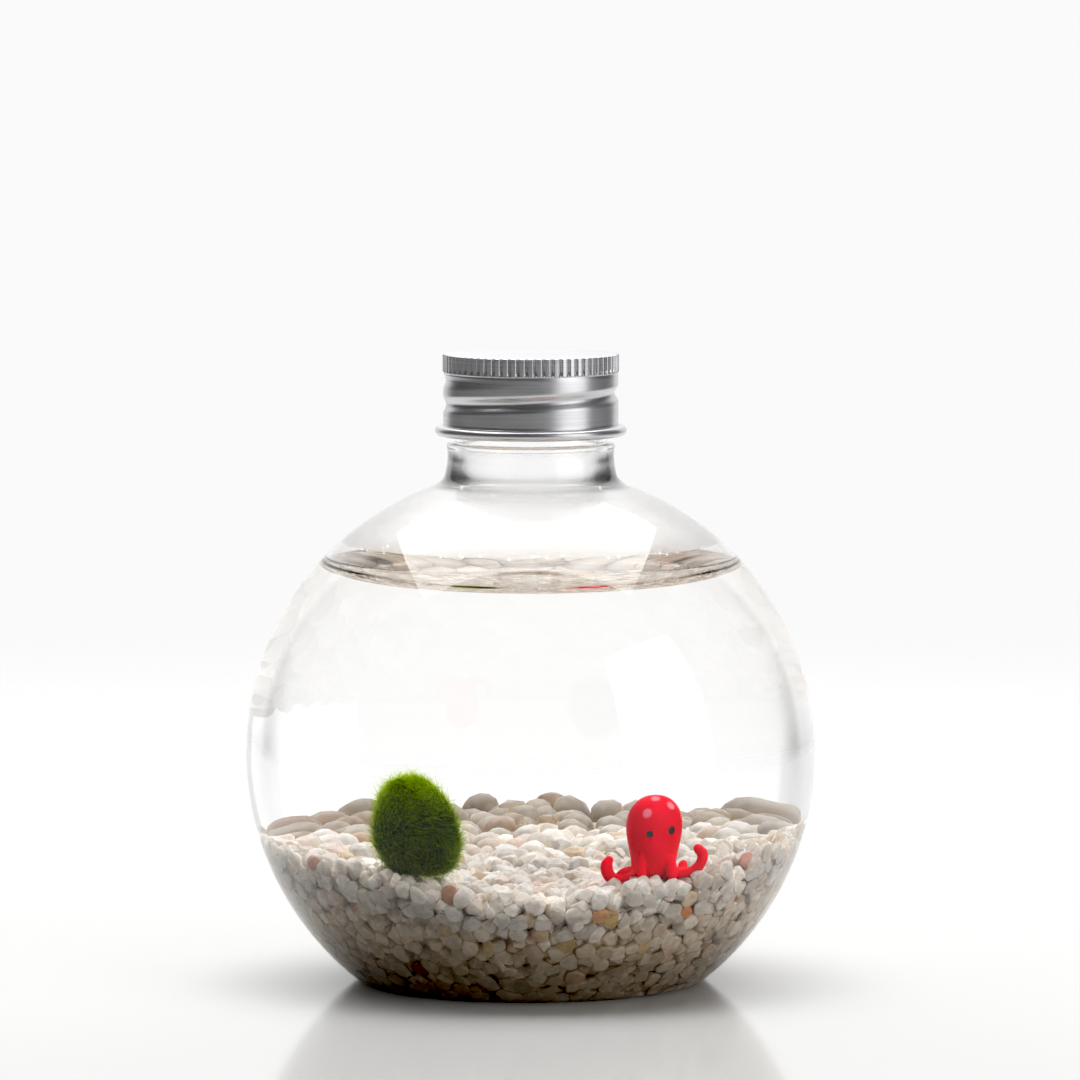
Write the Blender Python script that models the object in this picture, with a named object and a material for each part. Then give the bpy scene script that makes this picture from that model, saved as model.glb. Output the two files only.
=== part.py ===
"""Marimo moss ball in a round clear bottle with a screw cap.

The bottle stands on the floor with its axis on Z. The front is at -Y. It holds water, a bed of
white quartz gravel, one moss ball and one small glass octopus. Sizes are in metres.
"""
import math

import bmesh
import bpy
from mathutils import Vector

MM = 0.001
COLUMNS = 40                      # facets round the bottle, the water and the gravel
GAP = 0.3 * MM                    # clearance between pieces that touch
FILL_GAP = 1.4 * GAP              # the same for what fills the ball, whose facets face the wall's

# Bottle: a blown ball on a flat foot, with a thick short neck.
BALL_RADIUS = 45 * MM
BALL_CENTRE_Z = 36.1 * MM
WALL = 0.6 * MM
FOOT_RADIUS = 26.4 * MM
LOWER_BULGE = 0.35 * MM           # how far the lowest part stands out of the true ball
PUSH_UP_RADIUS = 22 * MM
PUSH_UP = 1.2 * MM                # shallow dent under the foot
BASE_WALL = 0.8 * MM
INNER_BASE_RADIUS = 25.8 * MM
OUTER_ARC = (-52.2, 70.2)         # degrees above the ball's equator where its sides start and end
INNER_ARC = (-51.5, 64.0)
NECK_ROOT = ((15.0 * MM, 76.9 * MM), (11.5 * MM, 77.5 * MM))   # radius and height where the wall is thick
BORE_RADIUS = 10.5 * MM
BORE_FOOT_Z = 78.7 * MM
COLLAR_RADIUS = 13.3 * MM
COLLAR_FOOT_Z = 80.2 * MM
COLLAR_TOP_Z = 85.1 * MM
FINISH_RADIUS = 12.1 * MM         # root of the neck's thread
LIP_Z = 97.1 * MM

# Screw thread, shared by the neck's ridge and the groove rolled into the cap.
PITCH = 3.8 * MM
RIDGE_HEIGHT = 0.95 * MM
RIDGE_HALF_WIDTH = 0.85 * MM
GROOVE_DEPTH = 0.85 * MM
GROOVE_HALF_WIDTH = 1.42 * MM
GROOVE_Z = 91.4 * MM              # height of the groove at the cap's left side, at half a turn
GROOVE_START = 0.2                # turns, counted from +X
GROOVE_END = 1.78
GROOVE_FADE = 0.45
RIDGE_START = -0.35
RIDGE_END = 1.15

# Cap: pressed aluminium with a knurled edge, a plain skirt and a curled bead.
CAP_COLUMNS = 32
CAP_WALL = 0.35 * MM
CAP_TOP_Z = 99.1 * MM
CAP_RADIUS = 13.8 * MM
KNURL_RIBS = 64
KNURL_TIP = 13.88 * MM
KNURL_ROOT = 13.55 * MM
KNURL_TOP_Z = 98.7 * MM
KNURL_BOTTOM_Z = 96.5 * MM
SHOULDER_RADIUS = 13.45 * MM
BEAD_Z = 87.1 * MM
BEAD_RADIUS = 0.8 * MM
BEAD_REACH = 15.1 * MM
LINER_RADIUS = 12.8 * MM
LINER_THICKNESS = 1.0 * MM

# Water and gravel. The bed's top rises to the back and the sides, by height per distance.
WATER_LEVEL = 63.0 * MM
BED_MIDDLE_Z = 22.7 * MM
BED_RISE_TO_BACK = 0.093
BED_RISE_TO_RIGHT = 0.02
BED_DISH = 1.9                    # rise to both sides, per metre, of the distance squared
HEAP = (-25 * MM, -33 * MM, 2.0 * MM, 8.0 * MM)      # x, y, height and spread, by the moss ball
HOLLOW = (20 * MM, -36 * MM, -0.9 * MM, 6.7 * MM)    # in front of the octopus
BED_RINGS = (0.83, 0.66, 0.46, 0.24)                 # shares of the way from the middle to the wall

# What stands on the gravel: x, y and the height of its underside.
MOSS_PLACE = (-16.4 * MM, -29.6 * MM, 20.8 * MM)
MOSS_HEIGHT = 16.3 * MM
MOSS_RADIUS = 6.5 * MM
MOSS_LEAN = -1.3 * MM             # how far the top leans to the left
OCTOPUS_PLACE = (17.7 * MM, -28.3 * MM, 20.2 * MM)
OCTOPUS_SEAT = 9.3 * MM           # radius of the level place that it stands on
SEAT_CUT = 8 * MM                 # how high the gravel is cut away over that place

# Octopus, in millimetres from the middle of its foot. The head is turned from (radius, height)
# points, and each arm is a list of (x, y, z, radius).
HEAD_PROFILE = ((0, 0.5), (2.6, 0.6), (3.4, 1.4), (3.35, 3.3), (3.8, 5.6), (4.25, 8.1), (4.0, 10.0),
                (3.1, 11.7), (1.6, 12.8), (0, 13.1))
ARMS = {
    "right": ((2.2, -0.6, 2.0, 1.15), (4.2, -0.8, 1.25, 1.0), (6.1, -0.9, 1.35, 0.95),
              (7.5, -0.9, 2.5, 0.92), (7.8, -0.8, 4.0, 0.9), (6.9, -0.8, 5.0, 0.72)),
    "left": ((-2.0, -1.4, 1.6, 1.0), (-3.9, -2.0, 0.85, 0.8), (-5.7, -2.2, 0.95, 0.88),
             (-6.6, -2.2, 1.9, 0.92), (-6.8, -2.1, 3.1, 0.9), (-6.5, -2.0, 3.8, 0.7)),
    "left_back": ((-2.0, 1.4, 1.8, 1.1), (-4.2, 2.2, 1.6, 1.1), (-5.4, 3.0, 1.1, 0.8)),
    "front": ((-1.7, -2.6, 4.6, 0.75), (-1.6, -3.5, 3.0, 0.78), (-1.3, -4.4, 1.4, 0.8),
              (-1.1, -5.3, 0.75, 0.65)),
    "front_right": ((2.6, -1.7, 3.6, 0.95), (3.1, -2.8, 2.0, 0.95), (3.5, -3.9, 1.0, 0.8)),
    "right_back": ((1.6, 2.0, 2.2, 1.1), (2.8, 4.0, 1.1, 0.95), (3.5, 5.6, 1.4, 0.9),
                   (3.6, 6.2, 2.6, 0.7)),
    "back": ((0.2, 2.4, 2.2, 1.1), (0.2, 4.6, 1.0, 0.95), (0.3, 6.3, 1.1, 0.9), (0.3, 7.3, 1.9, 0.7)),
    "back_left": ((-1.4, 2.2, 2.0, 1.1), (-2.4, 4.5, 1.0, 0.95), (-3.0, 6.1, 1.1, 0.85)),
}
HEAD_ROOM = ((5.2, 6.8), (4.8, 9.4), (2.9, 12.6), (0, 13.7))   # water's room round the head
ARM_ROOM_HEIGHT = 5.2             # and round the arms, as wide as the seat


def clear_scene():
    """Remove every object that is there before the model is made."""
    for thing in list(bpy.data.objects):
        bpy.data.objects.remove(thing, do_unlink=True)


def material(name, colour, roughness, metallic=0.0, transmission=0.0, ior=1.5):
    """A Principled material with one colour."""
    made = bpy.data.materials.new(name)
    made.use_nodes = True
    shader = made.node_tree.nodes["Principled BSDF"]
    shader.inputs["Base Color"].default_value = (*colour, 1.0)
    shader.inputs["Roughness"].default_value = roughness
    shader.inputs["Metallic"].default_value = metallic
    shader.inputs["Transmission Weight"].default_value = transmission
    shader.inputs["IOR"].default_value = ior
    return made


def new_object(name, bm, finish=None, sharp_degrees=32):
    """Turn a bmesh into an object whose faces point outwards and whose round faces are smooth."""
    bmesh.ops.recalc_face_normals(bm, faces=bm.faces)
    mesh = bpy.data.meshes.new(name)
    bm.to_mesh(mesh)
    bm.free()
    mesh.shade_smooth()
    mesh.set_sharp_from_angle(angle=math.radians(sharp_degrees))
    made = bpy.data.objects.new(name, mesh)
    bpy.context.scene.collection.objects.link(made)
    if finish:
        mesh.materials.append(finish)
    return made


def hide_cutter(thing):
    """Mark an object as a tool for a Boolean, so that it isn't part of the model."""
    thing.hide_render = True
    thing.display_type = "WIRE"


def boolean(target, tool, operation):
    """Add an exact Boolean to target and hide the tool."""
    step = target.modifiers.new(tool.name, "BOOLEAN")
    step.operation = operation
    step.solver = "EXACT"
    step.object = tool
    hide_cutter(tool)


def circle(radius, z, columns=COLUMNS, centre=(0.0, 0.0)):
    """One level ring of points. radius is a number, or a function of the turn and the height."""
    points = []
    for column in range(columns):
        turn = column / columns
        reach = radius(turn, z) if callable(radius) else radius
        angle = math.tau * turn
        points.append((centre[0] + reach * math.cos(angle), centre[1] + reach * math.sin(angle), z))
    return points


def join_rings(bm, lower, upper):
    """Faces between two rings of equal count, of counts one to two, or between a ring and a point."""
    if len(lower) < len(upper):
        lower, upper = upper, lower
    many, few = len(lower), len(upper)
    for i in range(few if few > 1 else many):
        if few == 1:
            bm.faces.new((lower[i], lower[(i + 1) % many], upper[0]))
        elif many == few:
            j = (i + 1) % few
            bm.faces.new((lower[i], lower[j], upper[j], upper[i]))
        else:
            first, middle, last = (lower[(2 * i + step) % many] for step in range(3))
            here, following = upper[i], upper[(i + 1) % few]
            bm.faces.new((first, middle, here))
            bm.faces.new((here, middle, following))
            bm.faces.new((middle, last, following))


def skin(rings):
    """A bmesh closed round a list of rings, each a list of points; a pole is a list of one."""
    bm = bmesh.new()
    rows = [[bm.verts.new(point) for point in ring] for ring in rings]
    for lower, upper in zip(rows, rows[1:]):
        join_rings(bm, lower, upper)
    return bm


def turned(profile, columns=COLUMNS, centre=(0.0, 0.0)):
    """A bmesh of revolution from (radius, height) points that start and end on the axis."""
    rings = []
    for radius, z in profile:
        rings.append([(centre[0], centre[1], z)] if radius == 0 else circle(radius, z, columns, centre))
    return skin(rings)


def ball_points(radius, arc, steps_below, steps_above):
    """Points up a ball's side over an arc in degrees, with one of them on its equator."""
    low, high = (math.radians(end) for end in arc)
    angles = [low * (1 - step / steps_below) for step in range(steps_below)]
    angles += [high * step / steps_above for step in range(steps_above + 1)]
    points = []
    for angle in angles:
        sink = max(0.0, -radius * math.sin(angle) / BALL_CENTRE_Z)
        points.append((radius * math.cos(angle) + LOWER_BULGE * sink ** 4,
                       BALL_CENTRE_Z + radius * math.sin(angle)))
    return points


def inner_wall():
    """The inside of the bottle from the base's edge up to the bore, as (radius, height) points."""
    return [(INNER_BASE_RADIUS, BASE_WALL)] + ball_points(BALL_RADIUS - WALL, INNER_ARC, 4, 5)


def inside_radius(z):
    """Radius of the facetted inside wall at a height, less the clearance, for what fills it."""
    wall = inner_wall()
    for (r0, z0), (r1, z1) in zip(wall, wall[1:]):
        if z0 <= z <= z1:
            return r0 + (r1 - r0) * (z - z0) / (z1 - z0) - FILL_GAP
    return wall[0][0] - FILL_GAP


def thread_ridge():
    """The neck's thread: a tapered strip on a helix, sunk a little into the neck."""
    steps_per_turn = COLUMNS // 2
    steps = round((RIDGE_END - RIDGE_START) * steps_per_turn)
    sink = 0.25 * MM
    rings = []
    for step in range(steps + 1):
        turn = RIDGE_START + step / steps_per_turn
        centre_z = GROOVE_Z + PITCH * (turn - 0.5) + PITCH / 2
        grown = min(1.0, min(step, steps - step) / 3 + 0.15)
        crest = FINISH_RADIUS + RIDGE_HEIGHT * grown
        base = FINISH_RADIUS - sink
        half = RIDGE_HALF_WIDTH * (0.4 + 0.6 * grown)
        section = [(base, -half), (crest, -0.35 * half), (crest, 0.35 * half), (base, half)]
        angle = math.tau * turn
        rings.append([(r * math.cos(angle), r * math.sin(angle), centre_z + rise) for r, rise in section])
    bm = skin(rings)
    bm.verts.ensure_lookup_table()
    bm.faces.new([bm.verts[i] for i in range(4)])
    bm.faces.new([bm.verts[len(bm.verts) - 1 - i] for i in range(4)])
    return new_object("neck_thread_form", bm)


def build_bottle():
    """The clear bottle: foot, ball, collar, threaded finish, lip and the inside of all of them."""
    outside = [(0, PUSH_UP), (0.55 * PUSH_UP_RADIUS, 0.72 * PUSH_UP), (PUSH_UP_RADIUS, 0),
               (FOOT_RADIUS, 0)]
    outside += ball_points(BALL_RADIUS, OUTER_ARC, 5, 6)
    outside += [(COLLAR_RADIUS + 0.35 * MM, COLLAR_FOOT_Z - 0.9 * MM),
                (COLLAR_RADIUS + 0.2 * MM, COLLAR_FOOT_Z + 0.2 * MM),
                (COLLAR_RADIUS - 0.2 * MM, COLLAR_TOP_Z - 2.2 * MM),
                (COLLAR_RADIUS, COLLAR_TOP_Z - 0.5 * MM),
                (COLLAR_RADIUS - 0.2 * MM, COLLAR_TOP_Z),
                (FINISH_RADIUS, COLLAR_TOP_Z),
                (FINISH_RADIUS, LIP_Z - 0.4 * MM),
                (FINISH_RADIUS - 0.4 * MM, LIP_Z)]
    inside = [(BORE_RADIUS + 0.3 * MM, LIP_Z), (BORE_RADIUS, LIP_Z - 0.3 * MM), (BORE_RADIUS, BORE_FOOT_Z)]
    inside += list(reversed(NECK_ROOT)) + list(reversed(inner_wall()))
    inside += [(PUSH_UP_RADIUS, BASE_WALL), (0, PUSH_UP + BASE_WALL)]
    clear = material("clear_pet", (0.93, 0.96, 0.96), 0.03, transmission=1.0, ior=1.57)
    bottle = new_object("bottle", turned(outside + inside), clear)
    boolean(bottle, thread_ridge(), "UNION")
    return bottle


def ease(t):
    """A smooth step from 0 to 1."""
    t = min(1.0, max(0.0, t))
    return t * t * (3 - 2 * t)


def groove(turn, z):
    """Depth of the rolled groove at a turn from 0 to 1 and a height, over all of its passes."""
    depth = 0.0
    for lap in range(3):
        along = turn + lap
        off = abs(z - (GROOVE_Z + PITCH * (along - 0.5)))
        if GROOVE_START < along < GROOVE_END and off < GROOVE_HALF_WIDTH:
            fade = ease((along - GROOVE_START) / GROOVE_FADE) * ease((GROOVE_END - along) / GROOVE_FADE)
            depth += GROOVE_DEPTH * fade * math.cos(math.pi / 2 * off / GROOVE_HALF_WIDTH) ** 2
    return depth


def knurl(turn, z):
    """Radius of the knurled edge: a rib's tip at every odd column."""
    return KNURL_TIP if round(turn * 2 * KNURL_RIBS) % 2 else KNURL_ROOT


def bead_ring(degrees):
    """A ring of the curled bead, at an angle round its own small section."""
    angle = math.radians(degrees)
    return circle(BEAD_REACH - BEAD_RADIUS + BEAD_RADIUS * math.cos(angle),
                  BEAD_Z + BEAD_RADIUS * math.sin(angle), CAP_COLUMNS)


def build_cap():
    """The screw cap: flat top, knurled edge, rolled thread, skirt and curled bead."""
    rows = 10
    low, high = GROOVE_Z - GROOVE_HALF_WIDTH, KNURL_BOTTOM_Z - 0.75 * MM
    rings = [[(0, 0, CAP_TOP_Z)],
             circle(0.7 * KNURL_ROOT, CAP_TOP_Z, CAP_COLUMNS),
             circle(KNURL_ROOT - 0.35 * MM, CAP_TOP_Z, KNURL_RIBS),
             circle(knurl, KNURL_TOP_Z, 2 * KNURL_RIBS),
             circle(knurl, KNURL_BOTTOM_Z, 2 * KNURL_RIBS),
             circle(SHOULDER_RADIUS, KNURL_BOTTOM_Z - 0.4 * MM, KNURL_RIBS)]
    for row in range(rows + 1):
        z = high + (low - high) * row / rows
        rings.append(circle(lambda turn, z: CAP_RADIUS - groove(turn, z), z, CAP_COLUMNS))
    rings.append(circle(CAP_RADIUS, BEAD_Z + 0.75 * MM, CAP_COLUMNS))
    rings += [bead_ring(degrees) for degrees in (70, 20, -30, -80, -130)]
    skirt = CAP_RADIUS - CAP_WALL
    rings.append(circle(skirt, BEAD_Z + 0.2 * MM, CAP_COLUMNS))
    for row in range(rows - 1):
        z = low + (high - low) * row / (rows - 2)
        rings.append(circle(lambda turn, z: skirt - groove(turn, z), z, CAP_COLUMNS))
    rings.append(circle(KNURL_ROOT - CAP_WALL, KNURL_BOTTOM_Z, CAP_COLUMNS))
    rings.append(circle(KNURL_ROOT - CAP_WALL, CAP_TOP_Z - CAP_WALL, CAP_COLUMNS))
    rings.append([(0, 0, CAP_TOP_Z - CAP_WALL)])
    aluminium = material("satin_aluminium", (0.72, 0.72, 0.73), 0.28, metallic=1.0)
    return new_object("cap", skin(rings), aluminium)


def build_liner():
    """The foam disc inside the cap that seals on the lip."""
    low = LIP_Z + GAP
    high = low + LINER_THICKNESS
    foam = material("white_foam", (0.88, 0.88, 0.86), 0.7)
    return new_object("cap_liner", turned([(0, low), (LINER_RADIUS, low), (LINER_RADIUS, high), (0, high)],
                                          CAP_COLUMNS), foam)


def gravel_height(x, y):
    """Top of the gravel: a tilted dish with a round heap and a round hollow in it."""
    height = BED_MIDDLE_Z + BED_RISE_TO_BACK * y + BED_RISE_TO_RIGHT * x + BED_DISH * x * x
    for cx, cy, rise, spread in (HEAP, HOLLOW):
        height += rise * math.exp(-((x - cx) ** 2 + (y - cy) ** 2) / (2 * spread ** 2))
    return height


def bed_rings(lift):
    """Rings over the gravel's top from the wall to the middle, raised by lift."""
    edge = []
    for column in range(COLUMNS):
        angle = math.tau * column / COLUMNS
        radius = BALL_RADIUS
        for _ in range(6):
            z = gravel_height(radius * math.cos(angle), radius * math.sin(angle)) + lift
            radius = inside_radius(z)
        edge.append((radius * math.cos(angle), radius * math.sin(angle), z))
    rings = [edge]
    for part in BED_RINGS:
        rings.append([(x * part, y * part, gravel_height(x * part, y * part) + lift) for x, y, _ in edge])
    rings.append([(0, 0, gravel_height(0, 0) + lift)])
    return rings


def wall_heights(low, high):
    """The wall's own ring heights strictly between two heights."""
    return [z for _, z in inner_wall() if low < z < high]


def build_gravel():
    """The bed of gravel as one solid, with a level seat and a nest for what stands on it."""
    bed = bed_rings(0.0)
    edge_low = min(point[2] for point in bed[0])
    floor_z = BASE_WALL + GAP
    rings = [[(0, 0, PUSH_UP + floor_z)], circle(PUSH_UP_RADIUS, floor_z),
             circle(INNER_BASE_RADIUS - 2 * GAP, floor_z)]
    for z in wall_heights(floor_z, edge_low - GAP):
        rings.append(circle(inside_radius(z), z))
    quartz = material("white_quartz", (0.74, 0.70, 0.66), 0.5)
    gravel = new_object("gravel", skin(rings + bed), quartz)
    x, y, z = OCTOPUS_PLACE
    low, high = z - GAP, z + SEAT_CUT
    seat = turned([(0, low), (OCTOPUS_SEAT, low), (OCTOPUS_SEAT, high), (0, high)], 20, (x, y))
    boolean(gravel, new_object("octopus_seat", seat), "DIFFERENCE")
    boolean(gravel, new_object("moss_nest", moss_form(GAP, 0.0)), "DIFFERENCE")
    return gravel


def build_water():
    """The water from the gravel to its flat level, hollowed round the moss ball and the octopus."""
    bed = bed_rings(1.3 * GAP)
    edge_high = max(point[2] for point in bed[0])
    level_radius = inside_radius(WATER_LEVEL)
    rings = [[(0, 0, WATER_LEVEL)], circle(0.5 * level_radius, WATER_LEVEL),
             circle(level_radius, WATER_LEVEL)]
    for z in reversed(wall_heights(edge_high + GAP, WATER_LEVEL)):
        rings.append(circle(inside_radius(z), z))
    finish = material("water", (0.95, 0.98, 1.0), 0.0, transmission=1.0, ior=1.333)
    water = new_object("water", skin(rings + bed), finish)
    boolean(water, new_object("moss_room", moss_form(GAP, 6 * MM)), "DIFFERENCE")
    boolean(water, new_object("octopus_room", octopus_room()), "DIFFERENCE")
    return water


def moss_form(grow, stalk):
    """The moss ball: an egg, wider below and leaning a little to the left.

    grow widens it for a clearance, and stalk carries its underside down to open a room below.
    """
    rows, columns = 11, 18
    cx, cy, base_z = MOSS_PLACE
    rings = [[(cx, cy, base_z - grow - stalk)]]
    if stalk:
        rings.append(circle(0.6 * MOSS_RADIUS, base_z - stalk, columns, (cx, cy)))
    for row in range(1, rows):
        polar = math.pi * row / rows
        rise = 0.5 - 0.5 * math.cos(polar)
        reach = MOSS_RADIUS * math.sin(polar) ** 0.86 * (1.13 - 0.26 * rise) + grow
        z = base_z + MOSS_HEIGHT * rise + grow * (2 * rise - 1)
        rings.append(circle(reach, z, columns, (cx + MOSS_LEAN * rise ** 2, cy)))
    rings.append([(cx + MOSS_LEAN, cy, base_z + MOSS_HEIGHT + grow)])
    return skin(rings)


def build_moss_ball():
    """The moss ball as a plain egg of its full size."""
    return new_object("moss_ball", moss_form(0.0, 0.0), material("marimo_moss", (0.10, 0.17, 0.03), 0.9))


def octopus_room():
    """The room in the water round the octopus: a wide foot for its arms and an egg for its head."""
    cx, cy, cz = OCTOPUS_PLACE
    below = cz - 4 * MM
    profile = [(0, below), (OCTOPUS_SEAT, below), (OCTOPUS_SEAT, cz + ARM_ROOM_HEIGHT * MM)]
    profile += [(radius * MM, cz + height * MM) for radius, height in HEAD_ROOM]
    return turned(profile, 20, (cx, cy))


def arm(points):
    """A round tapered arm through its points, closed by a blunt tip."""
    sides = 8
    cx, cy, cz = OCTOPUS_PLACE
    centres = [Vector((cx + x * MM, cy + y * MM, cz + z * MM)) for x, y, z, _ in points]
    rings = []
    for i, centre in enumerate(centres):
        along = (centres[min(i + 1, len(centres) - 1)] - centres[max(i - 1, 0)]).normalized()
        side = along.cross(Vector((0, 1, 0.2))).normalized()
        other = along.cross(side)
        radius = points[i][3] * MM
        rings.append([centre + side * radius * math.cos(math.tau * k / sides)
                      + other * radius * math.sin(math.tau * k / sides) for k in range(sides)])
    tip = centres[-1] + (centres[-1] - centres[-2]).normalized() * points[-1][3] * 0.7 * MM
    return skin([[centres[0]]] + rings + [[tip]])


def build_octopus():
    """The glass octopus: an egg head drawn in below, with eight arms fused to it."""
    cx, cy, cz = OCTOPUS_PLACE
    head = turned([(r * MM, cz + z * MM) for r, z in HEAD_PROFILE], 18, (cx, cy))
    red = material("red_glass", (0.80, 0.01, 0.03), 0.1)
    octopus = new_object("octopus", head, red)
    for name, points in ARMS.items():
        boolean(octopus, new_object("arm_" + name, arm(points)), "UNION")
    return octopus


def main():
    """Make every piece and hang the cap and its liner on the axis that they turn about."""
    clear_scene()
    build_bottle()
    cap = build_cap()
    liner = build_liner()
    build_gravel()
    build_water()
    build_moss_ball()
    build_octopus()
    axis = bpy.data.objects.new("cap_axis", None)
    bpy.context.scene.collection.objects.link(axis)
    for piece in (cap, liner):
        piece.parent = axis


main()
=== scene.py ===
"""A marimo moss ball in a round bottle: the dressed scene, in metres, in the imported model's frame."""
import math

import bpy
import numpy as np
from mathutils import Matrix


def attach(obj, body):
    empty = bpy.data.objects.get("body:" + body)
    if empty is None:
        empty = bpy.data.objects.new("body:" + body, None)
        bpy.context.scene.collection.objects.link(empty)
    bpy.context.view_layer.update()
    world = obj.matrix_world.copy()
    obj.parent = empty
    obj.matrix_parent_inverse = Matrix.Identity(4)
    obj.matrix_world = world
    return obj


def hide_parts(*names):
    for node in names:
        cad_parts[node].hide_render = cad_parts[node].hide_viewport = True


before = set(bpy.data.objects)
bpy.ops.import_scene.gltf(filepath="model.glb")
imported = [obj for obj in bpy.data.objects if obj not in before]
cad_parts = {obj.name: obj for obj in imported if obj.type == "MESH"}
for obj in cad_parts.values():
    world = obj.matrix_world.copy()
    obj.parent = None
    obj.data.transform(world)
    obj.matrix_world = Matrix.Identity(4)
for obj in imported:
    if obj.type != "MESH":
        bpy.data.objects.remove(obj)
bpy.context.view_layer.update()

# Camera
# A long lens, 1.2 m in front of the bottle and a little above it. The bottle stands left of the
# picture's middle, which the camera's place gives without a turn or a shift.
MM = 0.001  # in metres, the model's unit
CAMERA_PLACE = (1.45 * MM, -1200 * MM, 176.8 * MM)
CAMERA_TILT = 5.1  # degrees downwards
LENS = 254.7  # in millimetres, as the sensor's width is
SENSOR_WIDTH = 36

camera = bpy.data.objects.new("camera", bpy.data.cameras.new("camera"))
camera.data.lens = LENS
camera.data.sensor_width = SENSOR_WIDTH
camera.data.clip_start = 0.05
camera.data.clip_end = 60
camera.location = CAMERA_PLACE
camera.rotation_euler = (math.radians(90 - CAMERA_TILT), 0, 0)
bpy.context.scene.collection.objects.link(camera)
bpy.context.scene.camera = camera

# Bottle
# Clear PET, blown in a ball mould: a thin even wall, a shallow dent under the foot, and a thick
# neck with a collar and a moulded thread. The wall touches water below and air above.
BALL_RADIUS = 44.98 * MM
BALL_CENTRE_Z = 36.1 * MM
WALL = 0.55 * MM
INSIDE_RADIUS = BALL_RADIUS - WALL
LOWER_BULGE = 0.35 * MM
FOOT_RADIUS = 26.4 * MM
PUSH_UP_RADIUS = 22 * MM
PUSH_UP = 1.2 * MM
BASE_WALL = 0.8 * MM
BORE_RADIUS = 10.5 * MM
COLLAR_RADIUS = 13.3 * MM
COLLAR_TOP_Z = 85.1 * MM
FINISH_RADIUS = 12.1 * MM
LIP_Z = 97.1 * MM
PITCH = 3.8 * MM
GROOVE_Z = 91.15 * MM  # height of the cap's groove on the left, half a turn from +X
RIDGE_HEIGHT = 0.93 * MM
RIDGE_HALF_WIDTH = 0.85 * MM
RIDGE_TURNS = (-0.35, 1.15)  # where the thread starts and ends, in turns from +X
RIDGE_RUN_OUT = 0.12  # of a turn, at each end
WATER_EDGE_Z = 67.0 * MM  # where the water's edge has climbed to on the wall
DEW_EDGE_Z = 69.3 * MM  # the inside is fogged with dew from here
DEW_TOP_Z = 84.3 * MM  # to here, up in the neck
DEW_ROUGHNESS = 0.22
DROPS = 260  # of dew, large enough to show one by one
DROP_ROWS, DROP_COLUMNS = 5, 9
BOTTLE_COLUMNS = 192
PET_IOR = 1.5
WATER_IOR = 1.333


def linear(hex_colour):
    """Linear RGBA of an sRGB hex: c / 12.92 below 0.04045, else ((c + 0.055) / 1.055) ** 2.4."""
    channels = [int(hex_colour[i:i + 2], 16) / 255 for i in (1, 3, 5)]
    return tuple(c / 12.92 if c <= 0.04045 else ((c + 0.055) / 1.055) ** 2.4 for c in channels) + (1.0,)


def new_finish(name):
    """An empty material and its node tree."""
    made = bpy.data.materials.new(name)
    made.use_nodes = True
    made.node_tree.nodes.clear()
    return made, made.node_tree


def add_node(tree, kind, inputs=(), stops=(), **settings):
    """Add a node, whose type is ShaderNode and its kind. inputs holds (socket, value) pairs.

    A value may also be another node's output, or a node, which stands for its first output.
    stops are a colour ramp's (place, hex colour) pairs.
    """
    made = tree.nodes.new("ShaderNode" + kind)
    for name, value in settings.items():
        setattr(made, name, value)
    while stops and len(made.color_ramp.elements) < len(stops):
        made.color_ramp.elements.new(0.5)
    for i, (place, colour) in enumerate(stops):
        made.color_ramp.elements[i].position = place
        made.color_ramp.elements[i].color = linear(colour)
    for socket, value in inputs:
        if isinstance(value, bpy.types.Node):
            value = value.outputs[0]
        if isinstance(value, bpy.types.NodeSocket):
            tree.links.new(value, made.inputs[socket])
        else:
            made.inputs[socket].default_value = value
    return made


def covered(made, shader):
    """A material, with a shader laid on as its surface."""
    add_node(made.node_tree, "OutputMaterial", [("Surface", shader)])
    return made


def new_piece(name, points, faces, finishes, sharp=None):
    """A mesh object of points (n, 3) and a list of face arrays, each with its faces' corners.

    It is smooth all over, or with sharp edges above an angle in degrees.
    """
    mesh = bpy.data.meshes.new(name)
    corners = np.concatenate([part.ravel() for part in faces])
    sizes = np.concatenate([np.full(len(part), part.shape[1]) for part in faces])
    mesh.vertices.add(len(points))
    mesh.vertices.foreach_set("co", np.ascontiguousarray(points, dtype=np.float32).ravel())
    mesh.loops.add(len(corners))
    mesh.loops.foreach_set("vertex_index", corners.astype(np.int32))
    mesh.polygons.add(len(sizes))
    mesh.polygons.foreach_set("loop_start", np.concatenate([[0], np.cumsum(sizes)[:-1]]).astype(np.int32))
    mesh.update(calc_edges=True)
    mesh.validate()
    mesh.shade_smooth()
    if sharp is not None:
        mesh.set_sharp_from_angle(angle=math.radians(sharp))
    for finish in finishes:
        mesh.materials.append(finish)
    made = bpy.data.objects.new(name, mesh)
    bpy.context.scene.collection.objects.link(made)
    return made


def rows_of(*columns):
    """Rows of points or faces from their columns, each an array or one number for all rows."""
    return np.stack(np.broadcast_arrays(*columns), axis=-1)


def round_faces(rows, columns, first=0):
    """Quads of a grid that closes round its columns: each point with the next one and the row above."""
    i, j = np.meshgrid(np.arange(rows - 1), np.arange(columns), indexing="ij")
    following = (j + 1) % columns
    low, high = first + i * columns, first + (i + 1) * columns
    return rows_of(low + j, low + following, high + following, high + j).reshape(-1, 4)


def solid_faces(rows, columns):
    """Faces of a closed solid whose points are a bottom pole, a round grid of rows, and a top pole."""
    j = np.arange(columns)
    following = (j + 1) % columns
    top_row = 1 + (rows - 1) * columns
    top_pole = 1 + rows * columns
    bottom = rows_of(0, 1 + following, 1 + j)
    top = rows_of(top_row + j, top_row + following, top_pole)
    return [round_faces(rows, columns, 1), bottom, top]


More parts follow.
